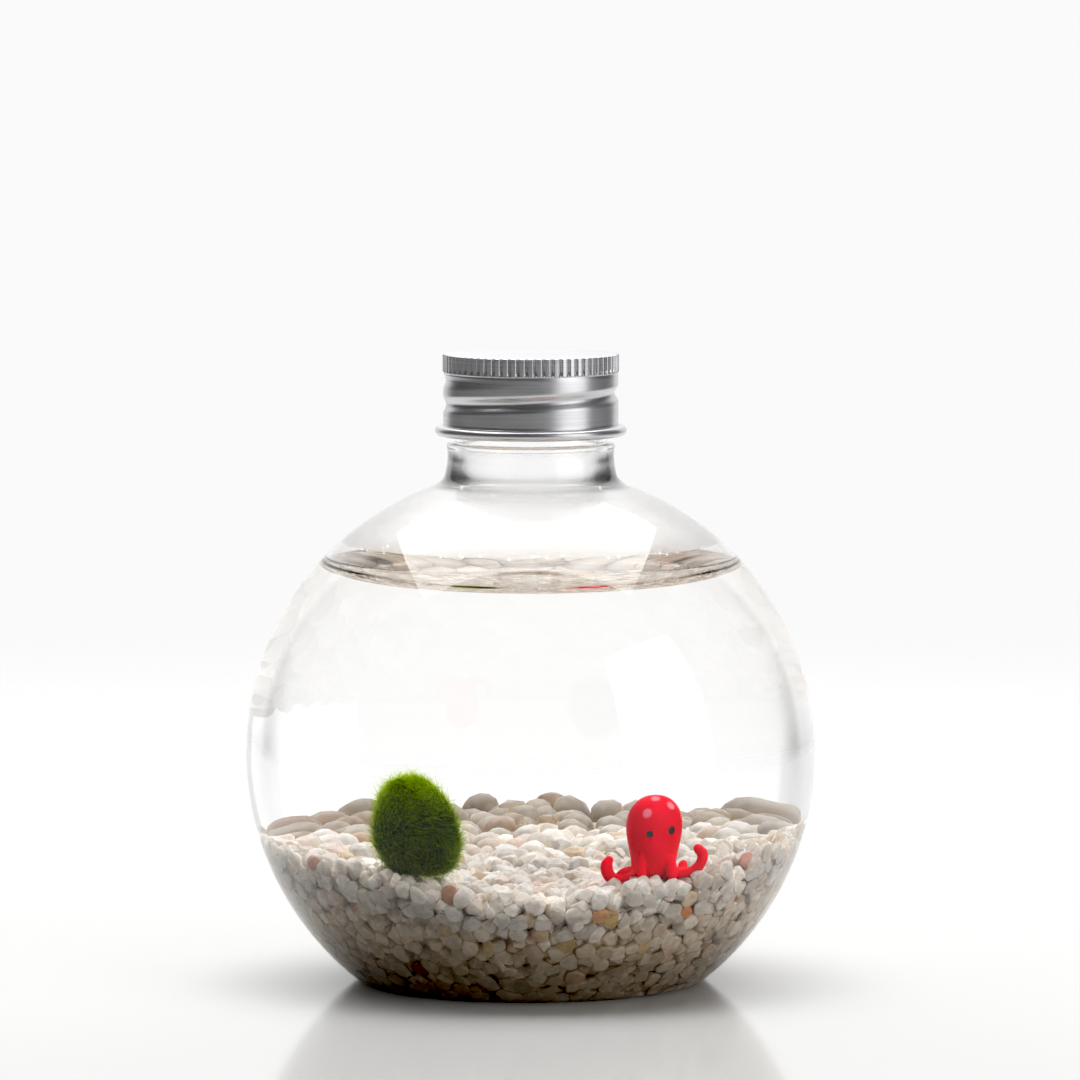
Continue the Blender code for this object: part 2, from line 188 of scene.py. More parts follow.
def arc(centre, radius, start, end, steps):
    """Points (r, z) on a circle arc, from one angle to another in degrees, counted from +r."""
    angle = np.radians(np.linspace(start, end, steps))
    return rows_of(centre[0] + radius * np.cos(angle), centre[1] + radius * np.sin(angle))


def curve(points, steps):
    """A smooth curve through points, each step of it a cubic whose slopes run between the neighbours."""
    knots = np.asarray(points, dtype=float)
    padded = np.concatenate([[2 * knots[0] - knots[1]], knots, [2 * knots[-1] - knots[-2]]])
    along = np.linspace(0, len(knots) - 1, steps)
    i = np.minimum(along.astype(int), len(knots) - 2)
    t = (along - i)[:, None]
    a, b, c, d = padded[i], padded[i + 1], padded[i + 2], padded[i + 3]
    straight = 2 * b + (c - a) * t
    return 0.5 * (straight + (2 * a - 5 * b + 4 * c - d) * t ** 2 + (3 * b - a - 3 * c + d) * t ** 3)


def upright(radius, start, end, steps):
    """Points (r, z) on a line along the axis, from one height to another."""
    return rows_of(radius, np.linspace(start, end, steps))


def round_angles(count):
    """Angles of points spaced evenly round a circle."""
    return 2 * math.pi * np.arange(count) / count


def around_axis(radius, angle, z):
    """Points (x, y, z) at distances from an upright axis, at angles round it and at heights."""
    return rows_of(radius * np.cos(angle), radius * np.sin(angle), z)


def turned_solid(profile, columns, radius_of=None):
    """Points and faces of a turned solid from (r, z) rows whose first and last row lie on the axis.

    Each row is a level circle. radius_of(turn, r, z) may change its radius round the turn.
    """
    turn = np.arange(columns) / columns
    r, z = profile[1:-1, :1], profile[1:-1, 1:]
    if radius_of is not None:
        r = radius_of(turn, r, z)
    rings = around_axis(r, 2 * math.pi * turn, z).reshape(-1, 3)
    poles = [(0, 0, profile[0, 1]), (0, 0, profile[-1, 1])]
    return np.concatenate([poles[:1], rings, poles[1:]]), solid_faces(len(profile) - 2, columns)


def ball_side(radius, start, end, steps):
    """Points (r, z) up the side of the ball, which bulges out a little towards its foot."""
    side = arc((0, BALL_CENTRE_Z), radius, start, end, steps)
    sink = np.clip((BALL_CENTRE_Z - side[:, 1]) / BALL_CENTRE_Z, 0, 1)
    side[:, 0] += LOWER_BULGE * sink ** 4
    return side


def neck_thread(turn, r, z):
    """The finish's radius with its thread: a ridge with a flat crest and sloping flanks on a helix.

    It has its full height up to 0.45 half widths from the helix, and none from 1.05 half widths on.
    """
    first, last = RIDGE_TURNS
    rise = np.zeros_like(r + turn)
    for lap in (-1, 0, 1):
        along = turn + lap
        off = np.abs(z - (GROOVE_Z + PITCH * (along - 0.5) + PITCH / 2)) / RIDGE_HALF_WIDTH
        ends = np.clip((along - first) / RIDGE_RUN_OUT, 0, 1) * np.clip((last - along) / RIDGE_RUN_OUT, 0, 1)
        rise = np.maximum(rise, RIDGE_HEIGHT * ends * np.clip((1.05 - off) / 0.6, 0, 1))
    on_finish = (r > FINISH_RADIUS - 0.02 * MM) & (z > COLLAR_TOP_Z + 0.1 * MM)
    return r + np.where(on_finish, rise, 0)


def clear_face(name, ior, dew=0.0):
    """A clear glossy face of blown PET or of water, with the index that light meets in crossing it.

    Lamps shine through it in straight lines, so that what it holds is evenly lit. Dew on it is a
    roughness, which blurs what lies behind.
    """
    made, tree = new_finish(name)
    body = add_node(tree, "BsdfPrincipled", [
        ("Base Color", linear("#FFFFFF")), ("Roughness", dew), ("IOR", ior), ("Transmission Weight", 1.0)])
    path = add_node(tree, "LightPath")
    open_way = add_node(tree, "BsdfTransparent")
    mixed = add_node(tree, "MixShader", [(0, path.outputs["Is Shadow Ray"]), (1, body), (2, open_way)])
    return covered(made, mixed)


def wall_angle(z):
    """Angle in degrees, up from the ball's middle, at which the wall's inside has a height."""
    return math.degrees(math.asin((z - BALL_CENTRE_Z) / INSIDE_RADIUS))


def push_up(square):
    """Height of the dent under the foot: it falls evenly with the square of the distance off the axis."""
    return PUSH_UP * np.clip(1 - square / PUSH_UP_RADIUS ** 2, 0, 1)


def unit_ball(rows, columns):
    """Directions of a ball's points: a bottom pole, level rows and a top pole."""
    polar = (math.pi * (1 - (np.arange(rows) + 1) / (rows + 1)))[:, None]
    rings = around_axis(np.sin(polar), round_angles(columns), np.cos(polar)).reshape(-1, 3)
    return np.concatenate([[(0, 0, -1)], rings, [(0, 0, 1)]])


def dew_drops(count, rng):
    """Points of flat round drops on the ball's inside, most of them near the fog's lower edge."""
    low_down = rng.uniform(0, 1, count) < 0.55
    height = np.where(low_down, rng.exponential(0.012, count), rng.uniform(0, 0.2, count))
    rise = math.radians(dew_edge_angle) + height
    turn = rng.uniform(0, 2 * math.pi, count)
    out = around_axis(np.cos(rise), turn, np.sin(rise))
    size = rng.uniform(0.07, 0.3, count) * MM
    shape = size[:, None, None] * unit_ball(DROP_ROWS, DROP_COLUMNS)
    shape = shape - 0.5 * np.einsum("nvi,ni->nv", shape, out)[..., None] * out[:, None]
    reach = INSIDE_RADIUS - 0.5 * size - 0.03 * MM
    return (0, 0, BALL_CENTRE_Z) + (out * reach[:, None])[:, None] + shape


def copied_faces(faces, copies, corners):
    """Faces of many like pieces in one mesh, in which each has so many points, one piece after another."""
    first = corners * np.arange(copies)[:, None, None]
    return [(face[None] + first).reshape(-1, face.shape[1]) for face in faces]


water_edge_angle = wall_angle(WATER_EDGE_Z)
dew_edge_angle = wall_angle(DEW_EDGE_Z)
dent = np.linspace(0, PUSH_UP_RADIUS, 14)
dent_back = dent[-2::-1]
bottle_outside = np.concatenate([
    rows_of(dent, push_up(dent ** 2)),
    [(FOOT_RADIUS - 0.2 * MM, 0)],
    arc((FOOT_RADIUS, 1.1 * MM), 1.1 * MM, -85, -62, 5),
    ball_side(BALL_RADIUS, -52.0, 69.0, 110),
    curve([(15.25, 78.45), (14.2, 79.15), (13.62, 79.9), (13.32, 81.2), (13.1, 83), (13.22, 84.4)], 26) * MM,
    arc((COLLAR_RADIUS - 0.35 * MM, COLLAR_TOP_Z - 0.35 * MM), 0.35 * MM, 0, 90, 6),
    [(FINISH_RADIUS + 0.25 * MM, COLLAR_TOP_Z)],
    upright(FINISH_RADIUS, COLLAR_TOP_Z + 0.25 * MM, LIP_Z - 0.45 * MM, 120),
    arc((FINISH_RADIUS - 0.4 * MM, LIP_Z - 0.4 * MM), 0.4 * MM, 10, 90, 6)])
bottle_inside = np.concatenate([
    arc((BORE_RADIUS + 0.4 * MM, LIP_Z - 0.4 * MM), 0.4 * MM, 90, 180, 6),
    curve([(BORE_RADIUS / MM, 95), (BORE_RADIUS / MM, 88), (10.6, 84), (11.05, 82), (11.8, 80.4),
           (12.85, 79.25), (14.2, 78.42), (15.8, 77.7), (18.3, 76.6)], 56) * MM,
    ball_side(INSIDE_RADIUS, 61.0, dew_edge_angle, 30),
    ball_side(INSIDE_RADIUS, dew_edge_angle - 0.4, water_edge_angle, 12),
    ball_side(INSIDE_RADIUS, water_edge_angle - 0.6, -51.2, 100),
    curve([(26.9, 1.1), (25.8, 0.8), (23.5, 0.8), (22, 0.82)], 10) * MM,
    rows_of(dent_back, BASE_WALL + push_up(dent_back ** 2))])
bottle_profile = np.concatenate([bottle_outside, bottle_inside])
bottle = new_piece("clear_bottle", *turned_solid(bottle_profile, BOTTLE_COLUMNS, neck_thread), [
    clear_face("blown PET in air", PET_IOR), clear_face("blown PET on water", PET_IOR / WATER_IOR),
    clear_face("blown PET with dew", PET_IOR, DEW_ROUGHNESS)], sharp=50)
# Each face takes its finish from what it touches: air outside, and inside water, air or dew.
height = (bottle_profile[1:-2, 1] + bottle_profile[2:-1, 1]) / 2
inside = np.arange(len(height)) >= len(bottle_outside) - 1
touched = np.select([inside & (height < WATER_EDGE_Z), inside & (height > DEW_EDGE_Z) & (height < DEW_TOP_Z)],
                    [1, 2], 0)
foot_and_base = np.repeat([0, 1], BOTTLE_COLUMNS)
touched = np.concatenate([np.repeat(touched, BOTTLE_COLUMNS), foot_and_base]).astype(np.int32)
bottle.data.polygons.foreach_set("material_index", touched)

drop_points = dew_drops(DROPS, np.random.default_rng(3))
drop_faces = copied_faces(solid_faces(DROP_ROWS, DROP_COLUMNS), DROPS, drop_points.shape[1])
dew = new_piece("dew_drops", drop_points.reshape(-1, 3), drop_faces, [clear_face("dew", WATER_IOR)])
for piece in (bottle, dew):
    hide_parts("bottle")
    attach(piece, "bottle")

# Gravel
# Crushed white quartz, washed, sieved to about 2 mm, poured in and settled. The grains lock
# together and lie flat against the wall, so each is a ball cut by the planes that it meets.
GRAIN_STEP = 1.58 * MM  # half the edge of the cube that four grains share
GRAIN_SHIFT = 0.75 * MM  # how far a grain lies from its regular place
GRAIN_REACH = 1.85 * MM  # largest radius of a middling grain
GRAIN_GAP = (-0.05, 0.04)  # mm between neighbours, which press into each other below 0
GRAIN_ROWS, GRAIN_COLUMNS = 6, 9
EDGE_PULL = 0.45  # how far a point may turn towards the next one, to find an edge
BED_MIDDLE_Z = 22.7 * MM
BED_RISE_TO_BACK = 0.093
BED_RISE_TO_RIGHT = 0.02
BED_DISH = 1.9  # per metre, times x * x: the sides stand higher than the middle
HEAPS = np.array([  # x, y, height and spread of each; a hollow has a height below 0
    (-25, -33, 2.0, 8.0), (20, -36, -0.4, 6.7), (16.5, -34.2, 0.9, 2.6)]) * MM
NEIGHBOURS = 16  # grains against which each is cut
OWN_PLANES = 9  # random flat faces of a grain, besides those that it shares
OUT_OF_REACH = 1.0  # metres, so far that nothing there cuts a grain
ROUND_FROM_Y = 15 * MM  # grains behind this are rounder
SHELL = 4.3 * MM  # grains are made this deep from the wall, the base and the top
CORE_DEPTH = 4.2 * MM  # the plain core's top lies this deep
CORE_COLUMNS = 72
STAINED = [  # the few coloured grains by the front wall: x, y, z in mm and colour
    (24.1, -30.5, 14.6, "#CC8A60"), (11.4, -38.1, 16.3, "#CFA27C"), (12.5, -35.7, 12.9, "#C9AC7C"),
    (-12.5, -38.4, 17.7, "#A3806C"), (-35.5, -23.8, 24.0, "#A8867A"), (-6.4, -35.0, 9.5, "#C2B089"),
    (-17.6, -26.7, 5.3, "#7E6046"), (33.0, -22.0, 23.0, "#C09084"), (7.0, -37.0, 10.0, "#B5A07A")]


def bed_top(x, y):
    """Height of the gravel: a tilted dish, with round heaps and a round hollow added."""
    height = BED_MIDDLE_Z + BED_RISE_TO_BACK * y + BED_RISE_TO_RIGHT * x + BED_DISH * x ** 2
    for cx, cy, rise, spread in HEAPS:
        height = height + rise * np.exp(-((x - cx) ** 2 + (y - cy) ** 2) / (2 * spread ** 2))
    return height


def bed_depth(points):
    """Distances into the bed from the wall, from the base and from the top, as three arrays."""
    x, y, z = points.T
    from_centre = np.sqrt(x ** 2 + y ** 2 + (z - BALL_CENTRE_Z) ** 2)
    return INSIDE_RADIUS - from_centre, z - BASE_WALL - push_up(x ** 2 + y ** 2), bed_top(x, y) - z


def grain_places(rng):
    """Centres of the grains: a face-centred lattice, shaken, and kept in a shell of the bed."""
    reach = int(BALL_RADIUS / GRAIN_STEP) + 1
    across = np.arange(-reach, reach + 1)
    lattice = np.stack(np.meshgrid(across, across, np.arange(reach), indexing="ij"), axis=-1).reshape(-1, 3)
    lattice = lattice[lattice.sum(axis=1) % 2 == 0]
    places = lattice * GRAIN_STEP + rng.uniform(-1, 1, lattice.shape) * GRAIN_SHIFT
    wall, base, top = bed_depth(places)
    inside = (wall > 0.45 * MM) & (base > 0.45 * MM) & (top > 0.75 * MM)
    near = np.minimum(np.minimum(wall, base), top) < SHELL
    return places[inside & near]


def nearest(places, count):
    """For each place, its nearest neighbours: the offsets to them and which they are.

    Places are taken in blocks, each against all of them.
    """
    offsets, chosen = [], []
    for start in range(0, len(places), 400):
        block = places[start:start + 400]
        gaps = places[None, :, :] - block[:, None, :]
        distance = np.einsum("ijk,ijk->ij", gaps, gaps)
        order = np.argpartition(distance, count + 1, axis=1)[:, :count + 1]
        offsets.append(np.take_along_axis(gaps, order[..., None], axis=1))
        chosen.append(order)
    return np.concatenate(offsets), np.concatenate(chosen)


def unit(vectors):
    """Vectors divided by their length."""
    return vectors / np.linalg.norm(vectors, axis=-1, keepdims=True)


def turns(rng, count):
    """Random turns as 3 by 3 matrices, from unit quaternions."""
    w, x, y, z = unit(rng.normal(size=(count, 4))).T
    entries = [1 - 2 * (y * y + z * z), 2 * (x * y - z * w), 2 * (x * z + y * w),
               2 * (x * y + z * w), 1 - 2 * (x * x + z * z), 2 * (y * z - x * w),
               2 * (x * z - y * w), 2 * (y * z + x * w), 1 - 2 * (x * x + y * y)]
    return np.stack(entries, axis=-1).reshape(-1, 3, 3)


def grain_planes(places, rng):
    """Planes that cut each grain: their outward directions (grain, plane, xyz) and distances.

    A plane to a neighbour divides the way between them in the ratio of their sizes, and neighbours
    press into each other a little. The rest are random, and the rounder grains along the back have
    none of those.
    """
    count = len(places)
    share = rng.uniform(0.7, 1.35, count)
    offsets, chosen = nearest(places, NEIGHBOURS)
    far = np.maximum(np.linalg.norm(offsets, axis=-1), 1e-6)
    between = far * share[:, None] / (share[:, None] + share[chosen])
    between -= rng.uniform(*GRAIN_GAP, (count, 1)) * MM
    between[far < 1e-5] = OUT_OF_REACH
    own = rng.normal(size=(count, OWN_PLANES, 3))
    own_distance = GRAIN_REACH * rng.uniform(0.52, 1.0, (count, OWN_PLANES))
    own_distance[places[:, 1] > ROUND_FROM_Y] = OUT_OF_REACH
    return (np.concatenate([offsets / far[..., None], unit(own)], axis=1),
            np.concatenate([between, own_distance], axis=1))


def grains(places, rng):
    """Points of all grains, as an array of (grain, point, xyz).

    In each direction a grain reaches to the nearest of its own largest radius and its planes. Each
    point then turns a part of the way towards a neighbour where the grain reaches farther, so that
    points gather on its edges and corners. The wall and the base press it flat.
    """
    count = len(places)
    outward, distance = grain_planes(places, rng)
    size = (GRAIN_REACH * rng.uniform(0.82, 1.12, count))[:, None]

    def reach_along(way):
        reach = np.repeat(size, way.shape[1], axis=1)
        for k in range(distance.shape[1]):
            toward = np.einsum("nvi,ni->nv", way, outward[:, k])
            reach = np.minimum(reach, distance[:, k, None] / np.maximum(toward, 1e-3))
        return reach

    way = np.einsum("nij,vj->nvi", turns(rng, count), unit_ball(GRAIN_ROWS, GRAIN_COLUMNS))
    reach = reach_along(way)
    ring = way[:, 1:-1].reshape(count, GRAIN_ROWS, GRAIN_COLUMNS, 3).copy()
    for axis, step in ((2, 1), (2, -1), (1, 1), (1, -1)):
        beside = np.roll(ring, step, axis=axis)
        if axis == 1:
            edge = 0 if step == 1 else -1
            beside[:, edge] = ring[:, edge]
        turned = unit(ring + EDGE_PULL * (beside - ring)).reshape(count, -1, 3)
        farther = reach_along(turned)
        better = farther > reach[:, 1:-1]
        way[:, 1:-1] = np.where(better[..., None], turned, way[:, 1:-1])
        reach[:, 1:-1] = np.where(better, farther, reach[:, 1:-1])
    points = places[:, None, :] + way * reach[:, :, None]
    from_centre = points - (0, 0, BALL_CENTRE_Z)
    radius = np.linalg.norm(from_centre, axis=-1, keepdims=True)
    pressed = np.minimum(1, (INSIDE_RADIUS - 0.06 * MM) / radius)
    points = (0, 0, BALL_CENTRE_Z) + from_centre * pressed
    base = BASE_WALL + push_up(points[..., 0] ** 2 + points[..., 1] ** 2) + 0.08 * MM
    points[..., 2] = np.maximum(points[..., 2], base)
    return points


def ease(t):
    """A smooth step: t * t * (3 - 2 * t) between 0 and 1."""
    t = np.clip(t, 0, 1)
    return t * t * (3 - 2 * t)


def grain_colours(places, rng):
    """One linear colour per grain: mostly milky whites, with creams, greys, pinks and a few stains.

    Painted shade darkens and browns the grains smoothly from 3 to 11 mm below the top, more from
    13 mm above the base down, and along the back wall, where less light reaches them.
    """
    kinds = [("#F6F2EC", 0.44), ("#EFE9E1", 0.24), ("#E6DDD2", 0.12), ("#DED8D0", 0.08),
             ("#F0DFD4", 0.08), ("#E6D3B8", 0.03), ("#D2B49E", 0.007), ("#9A8775", 0.003)]
    palette = np.array([linear(colour)[:3] for colour, _ in kinds])
    share = np.array([part for _, part in kinds])
    colours = palette[rng.choice(len(kinds), len(places), p=share / share.sum())]
    colours *= rng.uniform(0.63, 0.81, (len(places), 1))
    x, y, z = places.T
    # Painted shade: grains deep below the top, low down and along the back wall are tinted darker and
    # browner.
    for share, painted_shade_tint in ((ease((bed_top(x, y) - z - 3 * MM) / (8 * MM)), (0.98, 0.89, 0.76)),
                         (ease((13 * MM - z) / (11 * MM)), (0.68, 0.64, 0.59)),
                         (ease((y - 22 * MM) / (8 * MM)), (0.60, 0.56, 0.51))):
        colours *= 1 - share[:, None] * (1 - np.array(painted_shade_tint))
    for x, y, z, colour in STAINED:
        colours[np.argmin(np.linalg.norm(places - np.array((x, y, z)) * MM, axis=1))] = linear(colour)[:3]
    return np.clip(colours, 0, 1)


def crushed_quartz():
    """Milky quartz under water: each grain's colour with painted shade in it, clouded inside, with light
    soaking into it.

    Water takes most of its gloss away.
    """
    made, tree = new_finish("crushed milky quartz")
    colour = add_node(tree, "Attribute", attribute_name="grain")
    place = add_node(tree, "TexCoord").outputs["Object"]
    cloud = add_node(tree, "TexNoise", [("Vector", place), ("Scale", 900.0), ("Detail", 3.0)])  # 1.1 mm wide
    shade = add_node(tree, "ValToRGB", [("Fac", cloud)], stops=[(0.3, "#DAD2CA"), (0.65, "#FFFFFF")])
    clouded = add_node(tree, "MixRGB", [("Fac", 0.7), ("Color1", colour), ("Color2", shade)],
                       blend_type="MULTIPLY")
    body = add_node(tree, "BsdfPrincipled", [
        ("Base Color", clouded), ("Roughness", 0.38), ("IOR", 1.2),
        ("Subsurface Weight", 0.9), ("Subsurface Radius", (1.0, 0.85, 0.7)), ("Subsurface Scale", 1.7 * MM)],
        subsurface_method="BURLEY")
    return covered(made, body)


def paint(piece, name, colours):
    """Store one linear colour per point as a colour attribute."""
    layer = piece.data.color_attributes.new(name, "FLOAT_COLOR", "POINT")
    rgba = np.ones((len(piece.data.vertices), 4), dtype=np.float32)
    rgba[:, :3] = colours.reshape(-1, 3)
    layer.data.foreach_set("color", rgba.ravel())


rng = np.random.default_rng(7)
places = grain_places(rng)
# In their order round the axis, each quarter of the grains is one sector of the bed.
places = places[np.argsort(np.arctan2(places[:, 1] - places[:, 0], places[:, 0] + places[:, 1]))]
points = grains(places, rng)
colours = grain_colours(places, rng)
quartz = crushed_quartz()
grain_faces = solid_faces(GRAIN_ROWS, GRAIN_COLUMNS)
for part, chosen in enumerate(np.array_split(np.arange(len(places)), 4)):
    corners = points.shape[1]
    heap = new_piece("gravel_%d" % (part + 1), points[chosen].reshape(-1, 3),
                     copied_faces(grain_faces, len(chosen), corners), [quartz])
    rounder = places[chosen, 1] > ROUND_FROM_Y
    heap.data.polygons.foreach_set(
        "use_smooth", np.concatenate([np.repeat(rounder, len(face)) for face in grain_faces]))
    paint(heap, "grain", np.repeat(colours[chosen], corners, axis=0))
    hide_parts("gravel")
    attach(heap, "bottle")

# The bed's inside lies too deep to see grain by grain, and is one lump of the same quartz.
core_side = ball_side(INSIDE_RADIUS, -49, -12, 24) - (3.9 * MM, 0)
core_top = core_side[-1, 0] * np.linspace(0.04, 0.97, 30)[::-1]
core_points, core_faces = turned_solid(np.concatenate([
    [(0, 4 * MM)], core_side, rows_of(core_top, OUT_OF_REACH), [(0, OUT_OF_REACH)]]), CORE_COLUMNS)
core_points[:, 2] = np.minimum(core_points[:, 2], bed_top(core_points[:, 0], core_points[:, 1]) - CORE_DEPTH)
gravel_core = new_piece("gravel_core", core_points, core_faces, [quartz])
paint(gravel_core, "grain", np.tile(linear("#EFE9E1")[:3], (len(core_points), 1)))
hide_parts("gravel")
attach(gravel_core, "bottle")

# Moss ball
# One marimo: fine green algae threads felted into an egg, which stands in a small nest in the
# gravel. Its threads lie along it in swirls, and their tips stand out and glow where light comes
# through them; their colours add painted shade at the roots and painted glow at the tips and top.
MOSS_PLACE = (-16.4 * MM, -29.6 * MM, 21.2 * MM)
MOSS_HEIGHT = 15.4 * MM
MOSS_RADIUS = 6.5 * MM
MOSS_LEAN = -0.95 * MM  # how far the top leans to the left
MOSS_PILE = (1.2 * MM, 2.4 * MM)  # depth of the loose threads over the felted core, low down and at the top
MOSS_ROWS, MOSS_COLUMNS = 60, 96  # of the core's points
THREADS = 22000
THREAD_RADIUS = 0.028 * MM
THREAD_TAPER = np.array([1.0, 0.9, 0.62])
THREAD_LENGTH = (1.6, 4.0)  # mm
THREAD_LIFT = (0.2, 1.1)  # mm from a thread's root out to its tip
STRAY_SHARE = 0.22  # of the threads stand out farther, by STRAY_LIFT
STRAY_LIFT = (0.2, 1.7)  # mm
# The colours run from a near-black root to a pale yellow tip: painted shade deep in the pile, painted glow at
# the tips.
THREAD_COLOURS = ("#12180C", "#6E941A", "#C9E228", "#F9FF62")  # from root to tip


def height_share(polar):
    """How far up the egg a polar angle lies: half of one minus its cosine, from 0 to 1."""
    return 0.5 - 0.5 * np.cos(polar)


def egg(polar, turn, grow):
    """Points of the moss ball. polar goes from 0 at its foot to pi at its top, turn round it.

    Its radius is a power of the polar angle's sine, wider below, its axis leans, and low waves
    in both angles make it uneven. grow moves the surface outwards.
    """
    rise = height_share(polar)
    waves = (0.022 * np.sin(3 * turn + 4 * rise) + 0.018 * np.sin(5 * turn - 7 * rise + 1.0)
             + 0.012 * np.sin(9 * turn + 11 * rise))
    reach = np.sin(polar) ** (0.66 + 0.15 * rise) * (MOSS_RADIUS * (1.13 - 0.26 * rise) * (1 + waves) + grow)
    upwards = MOSS_HEIGHT * rise + grow * (2 * rise - 1)
    return MOSS_PLACE + around_axis(reach, turn, upwards) + rows_of(MOSS_LEAN * rise ** 2, 0, 0)


def pile_depth(polar):
    """Depth of the loose threads, which grows with the square of the height over the foot."""
    return MOSS_PILE[0] + (MOSS_PILE[1] - MOSS_PILE[0]) * height_share(polar) ** 2


def spokes(side, other, count):
    """Directions (point, spoke, xyz) round a rod's points, from two directions across it."""
    angle = round_angles(count)
    return side[:, None] * np.cos(angle)[None, :, None] + other[:, None] * np.sin(angle)[None, :, None]


def moss_threads(count, rng):
    """Points (thread, 10, xyz) and colours of tapered three-sided threads: three rings and a tip.

    A thread starts on the core and runs along it in a direction that swirls from place to place,
    and it rises from it with a power of the way it has run.
    """
    polar = np.arccos(rng.uniform(-0.985, 0.995, count))
    turn = rng.uniform(0, 2 * math.pi, count)
    root = egg(polar, turn, -pile_depth(polar) * rng.uniform(0.3, 1.15, count))
    around = unit(egg(polar, turn + 0.01, 0) - egg(polar, turn - 0.01, 0))
    upward = unit(egg(polar + 0.01, turn, 0) - egg(polar - 0.01, turn, 0))
    out = np.cross(around, upward)
    swirl = 1.4 * np.sin(2 * turn + 1.3 * polar) + 1.2 * np.sin(3.1 * polar - turn)
    swirl += rng.normal(0, 0.9, count)
    along = around * np.cos(swirl)[:, None] + upward * np.sin(swirl)[:, None]
    length = rng.uniform(*THREAD_LENGTH, count) * MM
    lift = rng.uniform(*THREAD_LIFT, count) * MM
    stray = rng.uniform(0, 1, count) < STRAY_SHARE
    lift = np.where(stray, lift + rng.uniform(*STRAY_LIFT, count) * MM, lift)
    bend = np.cross(out, along) * rng.normal(0, 0.7, count)[:, None] * MM
    bend -= out * (length ** 2 / (2.6 * MOSS_RADIUS))[:, None]
    ways = np.array([0.0, 0.36, 0.72, 1.0])
    path = (root[:, None] + along[:, None] * (length[:, None] * ways)[..., None]
            + out[:, None] * (lift[:, None] * ways ** 1.4)[..., None] + bend[:, None] * (ways ** 2)[:, None])
    side = unit(np.cross(along, out))
    radius = THREAD_RADIUS * rng.uniform(0.7, 1.3, count)[:, None] * THREAD_TAPER
    rings = path[:, :3, None] + spokes(side, np.cross(side, along), 3)[:, None] * radius[..., None, None]
    points = np.concatenate([rings.reshape(count, 9, 3), path[:, 3:]], axis=1)
    stops = np.array([linear(colour)[:3] for colour in THREAD_COLOURS])
    # A random tone times painted light: threads are brighter the higher they sit on the ball.
    tone_and_top_light = (rng.uniform(0.6, 1.2, count) * (0.8 + 0.6 * height_share(polar) ** 3))[:, None, None]
    warm = 1 + rng.normal(0, 0.12, (count, 1, 1)) * np.array([1.0, 0.15, -0.6])
    return points, np.clip(np.repeat(stops, (3, 3, 3, 1), axis=0)[None] * tone_and_top_light * warm, 0, 1)


def thread_faces(count):
    """Faces of threads of 10 points: a base triangle, two rounds of quads, and three tip triangles."""
    sides = [(r + i, r + (i + 1) % 3, r + 3 + (i + 1) % 3, r + 3 + i) for r in (0, 3) for i in range(3)]
    ends = [(0, 2, 1)] + [(6 + i, 6 + (i + 1) % 3, 9) for i in range(3)]
    return copied_faces([np.array(sides), np.array(ends)], count, 10)


def felted_algae():
    """Wet algae felted into a dense mass: matt, dark, and in clumps under a millimetre wide.

    Its near-black green is partly its own colour and partly painted shade under the threads.
    """
    made, tree = new_finish("felted algae")
    place = add_node(tree, "TexCoord").outputs["Object"]
    clump = add_node(tree, "TexNoise", [("Vector", place), ("Scale", 1400.0), ("Detail", 4.0)])  # 0.7 mm
    colour = add_node(tree, "ValToRGB", [("Fac", clump)],
                      stops=[(0.35, "#10160C"), (0.6, "#1B2612"), (0.75, "#263414")])
    body = add_node(tree, "BsdfPrincipled", [("Base Color", colour), ("Roughness", 0.6), ("IOR", 1.33)])
    return covered(made, body)


def algae_threads():
    """Single algae threads: each point has its own colour, with painted shade and glow in it, and light comes
    through as through a leaf.

    A thread is clear enough for what lies behind it to shine through in yellow-green.
    """
    made, tree = new_finish("algae threads")
    colour = add_node(tree, "Attribute", attribute_name="thread")
    body = add_node(tree, "BsdfPrincipled", [("Base Color", colour), ("Roughness", 0.6), ("IOR", 1.33)])
    through = add_node(tree, "BsdfTranslucent", [("Color", colour)])
    lit = add_node(tree, "MixShader", [(0, 0.93), (1, body), (2, through)])
    passed = add_node(tree, "BsdfTransparent", [("Color", linear("#ECF6A4"))])
    mixed = add_node(tree, "MixShader", [(0, 0.6), (1, lit), (2, passed)])
    return covered(made, mixed)


polar = np.linspace(0.04, math.pi - 0.04, MOSS_ROWS)
polar, turn = np.meshgrid(polar, round_angles(MOSS_COLUMNS), indexing="ij")
felt_points = np.concatenate([egg(np.array([0.0]), np.array([0.0]), -MOSS_PILE[0]),
                              egg(polar, turn, -pile_depth(polar)).reshape(-1, 3),
                              egg(np.array([math.pi]), np.array([0.0]), -MOSS_PILE[1])])
moss_pieces = [new_piece("moss_core", felt_points, solid_faces(MOSS_ROWS, MOSS_COLUMNS), [felted_algae()])]
threads, thread_colours = moss_threads(THREADS, rng)
thread_finish = algae_threads()
for part, chosen in enumerate(np.array_split(np.arange(THREADS), 2)):
    pile = new_piece("moss_threads_%d" % (part + 1), threads[chosen].reshape(-1, 3),
                     thread_faces(len(chosen)), [thread_finish])
    paint(pile, "thread", thread_colours[chosen])
    moss_pieces.append(pile)
for piece in moss_pieces:
    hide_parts("moss_ball")
    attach(piece, "bottle")

